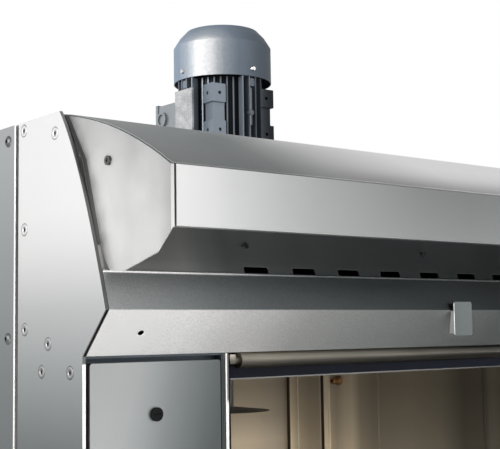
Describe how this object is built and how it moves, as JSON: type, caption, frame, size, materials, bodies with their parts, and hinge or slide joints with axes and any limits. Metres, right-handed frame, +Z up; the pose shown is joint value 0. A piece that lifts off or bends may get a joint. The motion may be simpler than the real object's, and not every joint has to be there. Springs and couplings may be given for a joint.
{
  "type": "rotating rack oven",
  "caption": "Tall steel rack oven with a hinged window door, steam hood, drive motor on the roof, rotating rack hook and convection fan.",
  "frame": {"origin": "on the floor, on the axis that the hanging rack turns about, at the sole of the centre foot", "axes": "+Z up, +X to the viewer's right when facing the door, the door faces -Y"},
  "size_m": [1.133, 1.8451, 2.382],
  "materials": {
    "foot_black": "matte",
    "frame_grey": "satin",
    "liner": "satin, warmed by heat",
    "steel": "fine matte grain",
    "wool": "matte mineral wool",
    "heater": "matte",
    "bright_wire": "polished",
    "motor_paint": "satin",
    "screw": "satin",
    "panel_black": "satin",
    "gasket": "matte",
    "tube_brown": "satin",
    "dark_steel": "satin",
    "cap_steel": "mottled matte",
    "plate": "satin",
    "brass": "satin",
    "lamp": "frosted",
    "forged": "satin",
    "shaft_steel": "machined",
    "fan_black": "matte",
    "pane": "clear",
    "handle_black": "gloss",
    "lock_black": "matte",
    "green_cap": "gloss",
    "red_cap": "gloss"
  },
  "bodies": {
    "oven": {"levelling_feet": "foot_black", "base_frame": "frame_grey", "floor_pan": "liner", "entry_ramp": "steel", "chamber_side_walls": "liner", "fan_baffle": "liner", "chamber_ceiling": "liner", "fan_space_back": "liner", "air_guides": "liner", "insulation": "wool", "heating_elements": "heater", "fan_guard": "bright_wire", "fan_motor": "motor_paint", "body_frame": "frame_grey", "side_panels": "steel", "back_panel": "steel", "roof_panel": "steel", "front_side_plates": "steel", "side_screws": "screw", "column_posts": "dark_steel", "left_cover": "steel", "plain_covers": "steel", "control_panel": "panel_black", "door_frame": "steel", "door_gasket": "gasket", "header_tube": "tube_brown", "slotted_wall": "dark_steel", "front_band": "steel", "hood_top": "steel", "hood_fascia": "steel", "hood_end_caps": "cap_steel", "hood_screws": "screw", "band_bracket": "steel", "gear_housing": "motor_paint", "motor_housing": "motor_paint", "motor_cowl": "motor_paint", "cowl_screws": "screw", "terminal_box": "motor_paint", "nameplate": "plate", "flue_collar": "steel", "steam_nozzle": "brass", "chamber_lamp": "lamp", "hinge_brackets": "forged"},
    "door": {"door_outer": "steel", "door_inner": "steel", "door_core": "wool", "door_glass": "pane"},
    "door_handle": {"door_handle": "handle_black"},
    "rack_drive": {"rack_shaft": "shaft_steel", "rack_hook": "dark_steel"},
    "layshaft": {"layshaft": "shaft_steel"},
    "motor_rotor": {"motor_shaft": "shaft_steel", "motor_fan": "fan_black"},
    "fan_wheel": {"fan_wheel": "bright_wire"},
    "flue_damper": {"flue_damper": "steel"},
    "quarter_turn_upper": {"quarter_turn_upper": "lock_black"},
    "quarter_turn_lower": {"quarter_turn_lower": "lock_black"},
    "selector_knob": {"selector_knob": "lock_black"},
    "start_button": {"start_button": "green_cap"},
    "stop_button": {"stop_button": "red_cap"}
  },
  "joints": [
    {"name": "door_swing", "type": "hinge", "parent": "oven", "child": "door", "pos_m": [0.322, -0.42815, 1], "axis": [0, 0, 1], "range_deg": [-115, 25]},
    {"name": "handle_turn", "type": "hinge", "parent": "door", "child": "door_handle", "pos_m": [0.58766, -0.95527, 1.05], "axis": [-0.9063, -0.4226, 0], "range_deg": [0, 90]},
    {"name": "rack_spin", "type": "hinge", "parent": "oven", "child": "rack_drive", "pos_m": [0, 0, 1.9], "axis": [0, 0, 1], "continuous": true},
    {"name": "layshaft_spin", "type": "hinge", "parent": "oven", "child": "layshaft", "pos_m": [0.0525, 0, 2.08], "axis": [0, 0, 1], "continuous": true},
    {"name": "motor_spin", "type": "hinge", "parent": "oven", "child": "motor_rotor", "pos_m": [0, 0, 2.2], "axis": [0, 0, 1], "continuous": true},
    {"name": "fan_spin", "type": "hinge", "parent": "oven", "child": "fan_wheel", "pos_m": [0, 0.45, 1], "axis": [0, 1, 0], "continuous": true},
    {"name": "damper_turn", "type": "hinge", "parent": "oven", "child": "flue_damper", "pos_m": [0.25, 0.4525, 2.175], "axis": [-1, 0, 0], "range_deg": [0, 90]},
    {"name": "lock_turn_upper", "type": "hinge", "parent": "oven", "child": "quarter_turn_upper", "pos_m": [-0.409, -0.4, 1.8135], "axis": [0, 1, 0], "range_deg": [0, 90]},
    {"name": "lock_turn_lower", "type": "hinge", "parent": "oven", "child": "quarter_turn_lower", "pos_m": [-0.409, -0.4, 1.509], "axis": [0, 1, 0], "range_deg": [0, 90]},
    {"name": "knob_turn", "type": "hinge", "parent": "oven", "child": "selector_knob", "pos_m": [-0.40625, -0.41, 1.23], "axis": [0, -1, 0], "range_deg": [-135, 135]},
    {"name": "start_press", "type": "slide", "parent": "oven", "child": "start_button", "axis": [0, 1, 0], "range_m": [0, 0.0025], "stiffness_N_per_m": 300},
    {"name": "stop_press", "type": "slide", "parent": "oven", "child": "stop_button", "axis": [0, 1, 0], "range_m": [0, 0.0025], "stiffness_N_per_m": 300}
  ],
  "couplings": [
    {"joint": "layshaft_spin", "follows": "rack_spin", "ratio": -4},
    {"joint": "motor_spin", "follows": "rack_spin", "ratio": 16}
  ]
}
